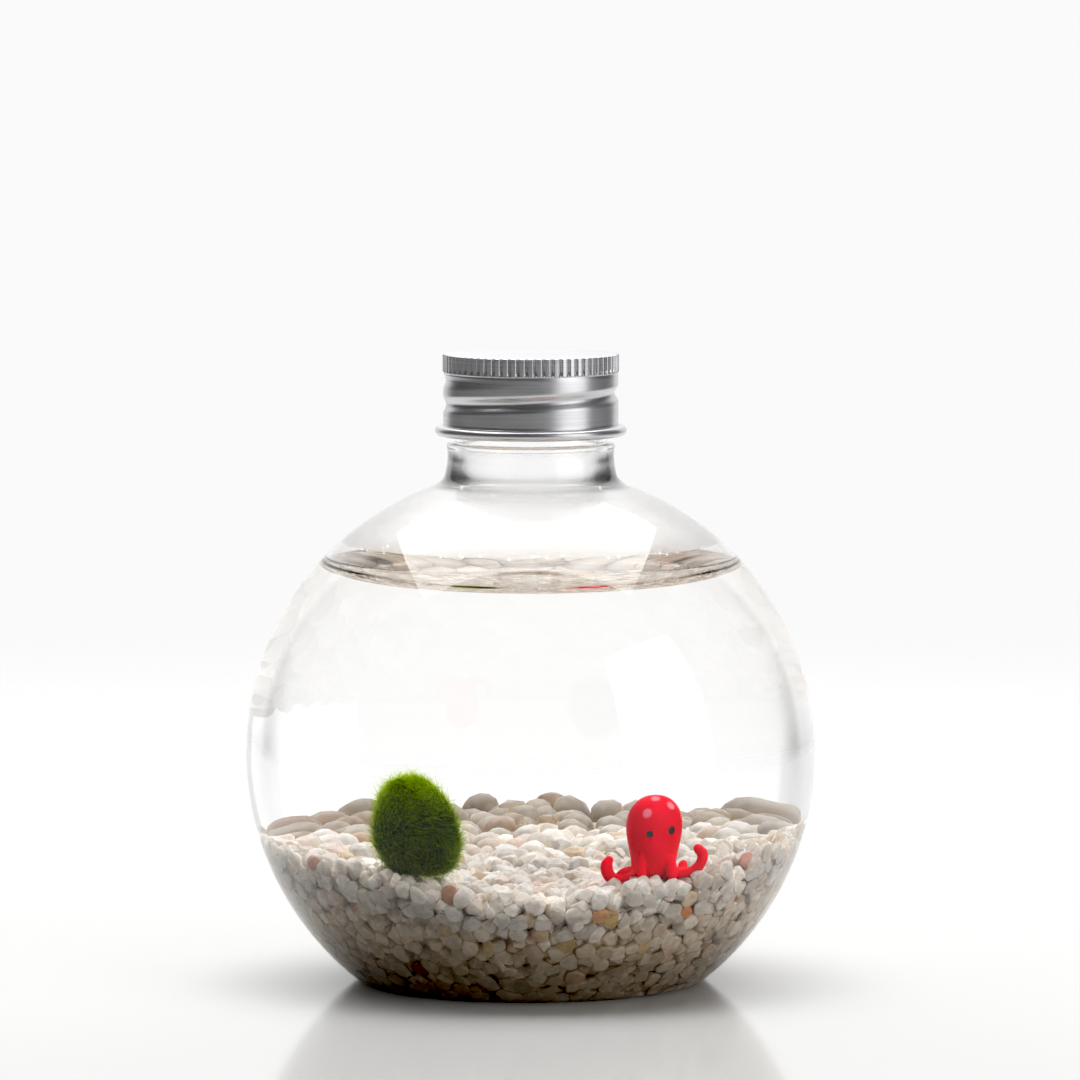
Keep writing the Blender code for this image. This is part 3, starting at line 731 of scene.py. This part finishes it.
# Octopus
# A figurine of opaque red glass, drawn and bent over a flame: an egg head, eight arms fused to it,
# two black glass eyes and a few soft pink dots melted in.
OCTOPUS_PLACE = (17.7 * MM, -28.3 * MM, 20.2 * MM)
HEAD_PROFILE = [  # radius and height in mm
    (0.0, 0.6), (1.6, 0.6), (2.7, 0.95), (3.3, 1.9), (3.42, 3.3), (3.6, 4.6), (3.95, 6.3), (4.2, 8.1),
    (4.12, 9.6), (3.6, 11.1), (2.6, 12.25), (1.35, 12.9), (0.0, 13.1)]
ARMS = [  # x, y, z and radius in mm from the middle of its foot
    [(2.2, -0.6, 2.0, 1.15), (4.2, -0.8, 1.25, 1.0), (6.1, -0.9, 1.35, 0.95), (7.5, -0.9, 2.5, 0.92),
     (7.8, -0.8, 4.0, 0.9), (6.9, -0.8, 5.0, 0.72)],
    [(-2.0, -1.4, 1.6, 1.0), (-3.9, -2.0, 0.85, 0.8), (-5.7, -2.2, 0.95, 0.88), (-6.6, -2.2, 1.9, 0.92),
     (-6.8, -2.1, 3.1, 0.9), (-6.5, -2.0, 3.8, 0.7)],
    [(-2.0, 1.4, 1.8, 1.1), (-4.2, 2.2, 1.6, 1.1), (-5.4, 3.0, 1.1, 0.8)],
    [(-1.7, -2.6, 4.6, 0.75), (-1.6, -3.5, 3.0, 0.78), (-1.3, -4.4, 1.4, 0.8), (-1.1, -5.3, 0.75, 0.65)],
    [(2.6, -1.7, 3.6, 0.95), (3.1, -2.8, 2.0, 0.95), (3.5, -3.9, 1.0, 0.8)],
    [(1.6, 2.0, 2.2, 1.1), (2.8, 4.0, 1.1, 0.95), (3.5, 5.6, 1.4, 0.9), (3.6, 6.2, 2.6, 0.7)],
    [(0.2, 2.4, 2.2, 1.1), (0.2, 4.6, 1.0, 0.95), (0.3, 6.3, 1.1, 0.9), (0.3, 7.3, 1.9, 0.7)],
    [(-1.4, 2.2, 2.0, 1.1), (-2.4, 4.5, 1.0, 0.95), (-3.0, 6.1, 1.1, 0.85)]]
EYES = [(-4.3, 7.56, 0.56), (45.2, 7.97, 0.62)]  # degrees to the right of the front, height, radius
DOTS = [(-11.8, 10.69, 0.8), (8.4, 12.7, 0.75), (54.5, 11.6, 0.75), (130.0, 9.6, 0.8), (205.0, 11.2, 0.75),
        (262.0, 9.2, 0.8)]  # as the eyes
HEAD_COLUMNS = 64
ROD_STEPS, ROD_SIDES = 36, 20
EYE_ROWS, EYE_COLUMNS = 11, 20
MELT = 0.13 * MM  # finest detail left where the arms and the head have run together
head_curve = curve(HEAD_PROFILE, 60)
head_side = head_curve[4:]  # from where the radius starts to grow


def on_head(degrees, height):
    """Point on the head's surface, in mm from the middle of its foot, and its outward direction."""
    radius = np.interp(height, head_side[:, 1], head_side[:, 0])
    higher = np.interp(height + 0.15, head_side[:, 1], head_side[:, 0])
    slope = math.atan2(radius - higher, 0.15)
    way = np.array([math.sin(math.radians(degrees)), -math.cos(math.radians(degrees)), 0])
    return way * radius + (0, 0, height), way * math.cos(slope) + (0, 0, math.sin(slope))


def glass_rod(knots):
    """Points and faces of a tapered round rod along a smooth curve through its knots.

    Each ring lies across the curve, and the rings close in to a point over the last radius.
    """
    path = curve(knots, ROD_STEPS)
    centre, radius = path[:, :3], path[:, 3]
    along = unit(np.gradient(centre, axis=0))
    side = unit(np.cross(along, (0.05, 1.0, 0.2)))
    spoke = spokes(side, np.cross(along, side), ROD_SIDES)
    rings = centre[:, None] + spoke * radius[:, None, None]
    swell = np.radians(np.array([30, 55, 75]))
    tip = (centre[-1] + along[-1] * radius[-1] * np.sin(swell)[:, None])[:, None] + (
        spoke[-1] * radius[-1] * np.cos(swell)[:, None, None])
    ring = np.concatenate([rings, tip]).reshape(-1, 3)
    poles = [centre[0] - along[0] * 0.1, centre[-1] + along[-1] * radius[-1]]
    return np.concatenate([poles[:1], ring, poles[1:]]), solid_faces(ROD_STEPS + len(swell), ROD_SIDES)


def red_glass():
    """Opaque red lamp-worked glass: glossy, glowing a little inside, with pale pink dots."""
    made, tree = new_finish("opaque red glass")
    place = add_node(tree, "TexCoord").outputs["Object"]
    swirl = add_node(tree, "TexNoise", [("Vector", place), ("Scale", 260.0), ("Detail", 2.0)])  # 4 mm wide
    colour = add_node(tree, "ValToRGB", [("Fac", swirl)], stops=[(0.3, "#E0001E"), (0.7, "#FF0A32")])
    for degrees, height, radius in DOTS:
        spot = on_head(degrees, height)[0] * MM + OCTOPUS_PLACE
        off = add_node(tree, "VectorMath", [(0, place), (1, tuple(spot))], operation="DISTANCE")
        inside = add_node(tree, "MapRange", [
            ("Value", off.outputs["Value"]), ("From Min", radius * 0.55 * MM),
            ("From Max", radius * 1.15 * MM), ("To Min", 0.85), ("To Max", 0.0)],
            interpolation_type="SMOOTHSTEP")
        colour = add_node(tree, "MixRGB", [
            ("Fac", inside), ("Color1", colour), ("Color2", linear("#FF8A9E"))])
    body = add_node(tree, "BsdfPrincipled", [
        ("Base Color", colour), ("Roughness", 0.09), ("IOR", 1.06),
        ("Subsurface Weight", 0.25), ("Subsurface Radius", (1.0, 0.1, 0.1)), ("Subsurface Scale", 0.8 * MM)])
    return covered(made, body)


def black_glass():
    """Black glass, glossy, with a faint blue-grey in it."""
    made, tree = new_finish("black glass")
    place = add_node(tree, "TexCoord").outputs["Object"]
    cloud = add_node(tree, "TexNoise", [("Vector", place), ("Scale", 900.0)])  # 1.1 mm wide
    colour = add_node(tree, "ValToRGB", [("Fac", cloud)], stops=[(0.3, "#050506"), (0.7, "#101114")])
    body = add_node(tree, "BsdfPrincipled", [("Base Color", colour), ("Roughness", 0.12), ("IOR", 1.5)])
    return covered(made, body)


def melt_together(piece, finish):
    """Make a piece's overlapping parts one closed skin, remeshed in voxels and smoothed."""
    melt = piece.modifiers.new("melt", "REMESH")
    melt.mode = "VOXEL"
    melt.voxel_size = MELT
    flow = piece.modifiers.new("flow", "SMOOTH")
    flow.factor = 0.5
    flow.iterations = 9
    shape = piece.evaluated_get(bpy.context.evaluated_depsgraph_get())
    piece.data = bpy.data.meshes.new_from_object(shape)
    piece.modifiers.clear()
    piece.data.shade_smooth()
    piece.data.materials.clear()
    piece.data.materials.append(finish)


parts = [turned_solid(head_curve, HEAD_COLUMNS)] + [glass_rod(knots) for knots in ARMS]
octopus_points = np.concatenate([points for points, _ in parts]) * MM + OCTOPUS_PLACE
starts = np.cumsum([0] + [len(points) for points, _ in parts])
octopus_faces = [face + start for (_, faces), start in zip(parts, starts) for face in faces]
octopus = new_piece("octopus_glass", octopus_points, octopus_faces, [])
melt_together(octopus, red_glass())

eye_points, eye_faces = [], []
for degrees, height, radius in EYES:
    spot, out = on_head(degrees, height)
    ball = unit_ball(EYE_ROWS, EYE_COLUMNS) * radius
    flat = ball - np.outer(ball @ out, out) * 0.55
    eye_faces += [face + len(ball) * len(eye_points) for face in solid_faces(EYE_ROWS, EYE_COLUMNS)]
    eye_points.append((flat + spot - out * 0.08) * MM + OCTOPUS_PLACE)
eyes = new_piece("octopus_eyes", np.concatenate(eye_points), eye_faces, [black_glass()])
for piece in (octopus, eyes):
    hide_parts("octopus")
    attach(piece, "bottle")

# Water
# Still clear water up to two thirds of the ball. It climbs the wall a little all round, and only
# its top shows: everywhere else it lies against the wall and the gravel.
WATER_LEVEL = 62.2 * MM
CAPILLARY_LENGTH = 2.71 * MM  # of water in air
WATER_COLUMNS = 192


def water_against_wall():
    """Where water touches the wall there is no surface to see, because the wall's own face bends light."""
    made, tree = new_finish("water against the wall")
    return covered(made, add_node(tree, "BsdfTransparent"))


def climbing_edge(climb, steps):
    """Points (distance from the contact line, height over the level) of water that climbs a wall.

    At a slope angle the height is twice the capillary length times the sine of half the angle, and
    the distance follows from the inverse hyperbolic cosine of twice the length over the height.
    """
    height = climb * np.geomspace(1.0, 0.002, steps)
    double = 2 * CAPILLARY_LENGTH

    def run(h):
        return CAPILLARY_LENGTH * np.arccosh(double / h) - np.sqrt(double ** 2 - h ** 2)

    return rows_of(run(height) - run(climb), height)


wall_side = ball_side(INSIDE_RADIUS, -46, water_edge_angle, 60) - (0.02 * MM, 0)
edge_radius = wall_side[-1, 0]
rise = climbing_edge(WATER_EDGE_Z - WATER_LEVEL, 110)
open_reach = edge_radius - rise[-1, 0]
water_profile = np.concatenate([
    [(0, 5 * MM)], wall_side,
    rows_of(edge_radius - rise[1:, 0], WATER_LEVEL + rise[1:, 1]),
    rows_of(open_reach * np.linspace(1, 0, 14)[1:], WATER_LEVEL)])
water = new_piece("still_water", *turned_solid(water_profile, WATER_COLUMNS),
                  [water_against_wall(), clear_face("water in air", WATER_IOR)])
top_faces = np.zeros(len(water.data.polygons), dtype=np.int32)
top_faces[(len(wall_side) - 1) * WATER_COLUMNS:] = 1
top_faces[-2 * WATER_COLUMNS:-WATER_COLUMNS] = 0
water.data.polygons.foreach_set("material_index", top_faces)
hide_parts("water")
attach(water, "bottle")

# Liner
# A disc of white foam, punched from a sheet and pressed up into the cap, with soft edges.
LINER_RADIUS = 12.8 * MM
LINER_LOW_Z = 97.4 * MM
LINER_HIGH_Z = 98.4 * MM
LINER_EDGE = 0.2 * MM  # radius of its soft edges
LINER_COLUMNS = 96


def foam():
    """White closed-cell foam: matt, with a fine even grain of cells."""
    made, tree = new_finish("closed-cell foam")
    place = add_node(tree, "TexCoord").outputs["Object"]
    cells = add_node(tree, "TexVoronoi", [("Vector", place), ("Scale", 3200.0)])  # 0.3 mm wide
    raised = add_node(tree, "Bump", [("Strength", 0.35), ("Distance", 0.05 * MM), ("Height", cells)])
    colour = add_node(tree, "ValToRGB", [("Fac", cells)], stops=[(0.1, "#DEDDD8"), (0.6, "#EEEDE9")])
    body = add_node(tree, "BsdfPrincipled", [("Base Color", colour), ("Roughness", 0.75), ("Normal", raised)])
    return covered(made, body)


liner_profile = np.concatenate([
    [(0, LINER_LOW_Z), (8 * MM, LINER_LOW_Z)],
    arc((LINER_RADIUS - LINER_EDGE, LINER_LOW_Z + LINER_EDGE), LINER_EDGE, -90, 0, 5),
    arc((LINER_RADIUS - LINER_EDGE, LINER_HIGH_Z - LINER_EDGE), LINER_EDGE, 0, 90, 5),
    [(8 * MM, LINER_HIGH_Z), (0, LINER_HIGH_Z)]])
liner = new_piece("foam_liner", *turned_solid(liner_profile, LINER_COLUMNS), [foam()], sharp=50)
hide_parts("cap_liner")
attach(liner, "liner")

# Cap
# A 28 mm screw cap drawn from aluminium sheet. Its edge is knurled for grip, its thread is rolled
# in over the neck's, and its lower edge is curled into a bead.
CAP_TOP_Z = 99.1 * MM
CAP_RADIUS = 13.8 * MM
CAP_WALL = 0.35 * MM
KNURL_RIBS = 64
KNURL_TIP = 13.88 * MM
KNURL_ROOT = 13.45 * MM
KNURL_TOP_Z = 98.75 * MM
KNURL_BOTTOM_Z = 96.45 * MM
BEAD_Z = 87.1 * MM
BEAD_RADIUS = 0.8 * MM
BEAD_REACH = 15.1 * MM
GROOVE_DEPTH = 0.64 * MM
GROOVE_HALF_WIDTH = 1.42 * MM
GROOVE_TURNS = (0.2, 1.78)  # where the groove starts and ends, in turns from +X
GROOVE_FADE = 0.45  # of a turn, at each end
CAP_COLUMNS = 832  # thirteen to a rib


def cap_radius(turn, r, z):
    """The cap's wall, with a groove rolled in on a helix and a knurled band over it.

    The groove's section is a squared cosine. Between the knurled band's flat-topped ribs lie narrow
    furrows with smooth steep sides, which end in points at its foot.
    """
    depth = np.zeros_like(r + turn)
    for lap in range(3):
        along = turn + lap
        off = np.clip(np.abs(z - (GROOVE_Z + PITCH * (along - 0.5))) / GROOVE_HALF_WIDTH, 0, 1)
        fade = ease((along - GROOVE_TURNS[0]) / GROOVE_FADE) * ease((GROOVE_TURNS[1] - along) / GROOVE_FADE)
        depth += GROOVE_DEPTH * fade * np.cos(math.pi / 2 * off) ** 2
    thread_band = (z < KNURL_BOTTOM_Z - 0.12 * MM) & (z > BEAD_Z + 1.2 * MM)
    wave = ease((np.abs((turn * KNURL_RIBS) % 1 - 0.5) - 0.05) / 0.2)
    below = ease((z - KNURL_BOTTOM_Z + 0.5 * MM * wave) / (0.45 * MM))
    above = ease((CAP_TOP_Z + 0.12 * MM - z) / (0.25 * MM))
    rib = (KNURL_TIP - KNURL_ROOT) * below * above * (1 - wave)
    outside_band = (z > KNURL_BOTTOM_Z - 0.6 * MM) & (r > KNURL_ROOT - 0.3 * MM)
    return r - np.where(thread_band, depth, 0) - np.where(outside_band, rib, 0)


def satin_aluminium():
    """Rolled aluminium sheet under clear lacquer: satin, with fine lines round it from the rolling.

    The lines are 0.2 mm apart, coarser than real ones, which are too fine to show. Patches 6 mm wide
    are a little duller or glossier.
    """
    made, tree = new_finish("satin aluminium")
    place = add_node(tree, "TexCoord").outputs["Object"]
    around = add_node(tree, "Mapping", [("Vector", place), ("Scale", (14.0, 14.0, 5200.0))])
    lines = add_node(tree, "TexNoise", [
        ("Vector", around), ("Scale", 1.0), ("Detail", 3.0), ("Roughness", 0.6)])
    patches = add_node(tree, "TexNoise", [("Vector", place), ("Scale", 160.0), ("Detail", 3.0)])
    raised = add_node(tree, "Bump", [("Strength", 0.22), ("Distance", 0.02 * MM), ("Height", lines)])
    roughness = add_node(tree, "MapRange", [
        ("Value", patches), ("From Min", 0.3), ("From Max", 0.7), ("To Min", 0.30), ("To Max", 0.37)])
    colour = add_node(tree, "ValToRGB", [("Fac", lines)], stops=[(0.3, "#C9C9CC"), (0.7, "#E2E2E4")])
    body = add_node(tree, "BsdfPrincipled", [
        ("Base Color", colour), ("Metallic", 1.0), ("Roughness", roughness), ("Normal", raised)])
    return covered(made, body)


skirt = CAP_RADIUS - CAP_WALL
under = CAP_TOP_Z - CAP_WALL
crown = KNURL_ROOT - CAP_WALL
cap_profile = np.concatenate([
    [(0, under), (9 * MM, under), (crown - 0.5 * MM, under)],
    arc((crown - 0.5 * MM, under - 0.5 * MM), 0.5 * MM, 80, 0, 4),
    [(crown, KNURL_BOTTOM_Z)],
    upright(skirt, KNURL_BOTTOM_Z - 0.55 * MM, BEAD_Z + 0.9 * MM, 18),
    arc((BEAD_REACH - BEAD_RADIUS, BEAD_Z), BEAD_RADIUS, -190, 66, 18),
    [(CAP_RADIUS + 0.12 * MM, BEAD_Z + 0.86 * MM)],
    upright(CAP_RADIUS, BEAD_Z + 1.1 * MM, KNURL_BOTTOM_Z - 0.95 * MM, 44),
    curve([(CAP_RADIUS, KNURL_BOTTOM_Z - 0.75 * MM), (CAP_RADIUS - 0.03 * MM, KNURL_BOTTOM_Z - 0.5 * MM),
           (CAP_RADIUS - 0.1 * MM, KNURL_BOTTOM_Z - 0.25 * MM), (KNURL_TIP, KNURL_BOTTOM_Z - 0.1 * MM)], 9),
    upright(KNURL_TIP, KNURL_BOTTOM_Z, KNURL_TOP_Z, 9),
    arc((KNURL_TIP - 0.16 * MM, CAP_TOP_Z - 0.16 * MM), 0.16 * MM, 8, 90, 5),
    [(13.2 * MM, CAP_TOP_Z), (12 * MM, CAP_TOP_Z), (6 * MM, CAP_TOP_Z), (0, CAP_TOP_Z)]])
cap = new_piece("aluminium_cap", *turned_solid(cap_profile, CAP_COLUMNS, cap_radius),
                [satin_aluminium()], sharp=50)
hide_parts("cap")
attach(cap, "cap")

# Floor and light
# A white lacquered table top before a white screen. A wide lamp box hangs over and behind the
# bottle, another stands to the right in front, and the rest of the room is dim.
FLOOR_RADIUS = 0.6
FLOOR_COLUMNS = 96
SCREEN_WHITE = 1.05  # the screen's radiance
SEEN_DIMMING = 0.094  # how much less of it the camera sees straight on
BLACK_LEVEL = 0.026  # the picture's darks start here


def white_table():
    """White lacquered board: glossy enough to mirror the bottle, fading out into the white around."""
    made, tree = new_finish("white lacquered board")
    place = add_node(tree, "TexCoord").outputs["Object"]
    reach = add_node(tree, "VectorMath", [(0, place)], operation="LENGTH")
    fade = add_node(tree, "MapRange", [
        ("Value", reach.outputs["Value"]), ("From Min", 0.25), ("From Max", FLOOR_RADIUS - 0.02)],
        interpolation_type="SMOOTHSTEP")
    body = add_node(tree, "BsdfPrincipled", [
        ("Base Color", linear("#E1E1E0")), ("Roughness", 0.09), ("IOR", 1.22)])
    open_way = add_node(tree, "BsdfTransparent")
    mixed = add_node(tree, "MixShader", [(0, fade), (1, body), (2, open_way)])
    return covered(made, mixed)


def lamp_box(name, place, turned_by, width, height, radiance):
    """A flat lamp of a given radiance: its power is pi times its area times that."""
    lamp = bpy.data.lights.new(name, "AREA")
    lamp.shape = "RECTANGLE"
    lamp.size, lamp.size_y = width, height
    lamp.energy = math.pi * width * height * radiance
    made = bpy.data.objects.new(name, lamp)
    made.location = place
    made.rotation_euler = [math.radians(part) for part in turned_by]
    made.visible_camera = False
    bpy.context.scene.collection.objects.link(made)


disc = around_axis(FLOOR_RADIUS, round_angles(FLOOR_COLUMNS), 0.0)
floor = new_piece("floor", disc, [np.arange(FLOOR_COLUMNS)[None]], [white_table()])
lamp_box("overhead_box", place=(-0.03, 0.44, 1.0), turned_by=(0, 0, 0), width=1.26, height=1.12, radiance=3.3)
lamp_box("right_box", place=(1.05, -0.68, 0.55), turned_by=(90, 0, 57), width=0.95, height=1.3, radiance=1.6)

world = bpy.data.worlds.new("white screen and dim room")
world.use_nodes = True
bpy.context.scene.world = world
sky = world.node_tree
way = add_node(sky, "TexCoord").outputs["Generated"]
along_x, _, along_z = add_node(sky, "SeparateXYZ", [("Vector", way)]).outputs
level = add_node(sky, "VectorMath", [(0, way), (1, (1, 1, 0))], operation="MULTIPLY")
level_way = add_node(sky, "VectorMath", [(0, level)], operation="NORMALIZE")
# behind is 1 straight behind the bottle and falls to -1 in front, whatever the height.
behind = add_node(sky, "SeparateXYZ", [("Vector", level_way)]).outputs["Y"]
light = {"x": along_x, "z": along_z, "behind": behind}
light.update(add_node(sky, "LightPath").outputs.items())
# Smooth steps: what each runs over, from where to where, and its values at both ends.
for name, over, low, high, start, end in [
        ("screen width", "behind", 0.70, 0.80, 0.0, 1.0), ("screen height", "z", 0.5, 0.85, 1.0, 0.0),
        ("clear width", "behind", 0.6, 0.92, 0.62, 0.98), ("clear height", "z", 0.5, 0.85, 1.0, 0.66),
        ("from left", "x", -0.6, 0.2, 0.24, 0.1), ("from below", "z", -0.3, -0.02, 0.45, 0.11)]:
    light[name] = add_node(sky, "MapRange", [
        ("Value", light[over]), ("From Min", low), ("From Max", high), ("To Min", start), ("To Max", end)],
        interpolation_type="SMOOTHSTEP")
# Sums, each with its name, its operation and what goes into it.
for name, operation, *terms in [
        ("screen", "MULTIPLY", "screen width", "screen height"),
        # Light bent by the bottle meets white nearly all round, less from above and from in front.
        ("clear", "MULTIPLY", "clear width", "clear height"),
        ("clear", "MULTIPLY", "clear", "Is Transmission Ray"),
        ("not scattered", "LESS_THAN", "Diffuse Depth", 0.5),
        ("clear", "MULTIPLY", "clear", "not scattered"),
        ("seldom mirrored", "LESS_THAN", "Glossy Depth", 8.5),
        ("clear", "MULTIPLY", "clear", "seldom mirrored"),
        ("white", "MAXIMUM", "screen", "clear"),
        ("white", "MAXIMUM", "white", "Is Camera Ray"),
        # The room lights matt surfaces a little more, most of all from the left.
        ("not matt", "MAXIMUM", "Is Glossy Ray", "Is Transmission Ray"),
        ("matt", "SUBTRACT", 1.0, "not matt"),
        ("room", "MULTIPLY_ADD", "from left", "matt", "from below"),
        ("bright", "MULTIPLY_ADD", "Is Camera Ray", -SEEN_DIMMING, SCREEN_WHITE),
        ("more than room", "SUBTRACT", "bright", "room"),
        ("strength", "MULTIPLY_ADD", "white", "more than room", "room")]:
    inputs = [(i, light.get(term, term)) for i, term in enumerate(terms)]
    light[name] = add_node(sky, "Math", inputs, operation=operation)
sky.links.new(light["strength"].outputs[0], sky.nodes["Background"].inputs["Strength"])
sky.nodes["Background"].inputs["Color"].default_value = (1, 1, 1, 1)
film = bpy.context.scene.view_settings
film.view_transform = "Standard"
film.use_curve_mapping = True
film.curve_mapping.black_level = (BLACK_LEVEL,) * 3
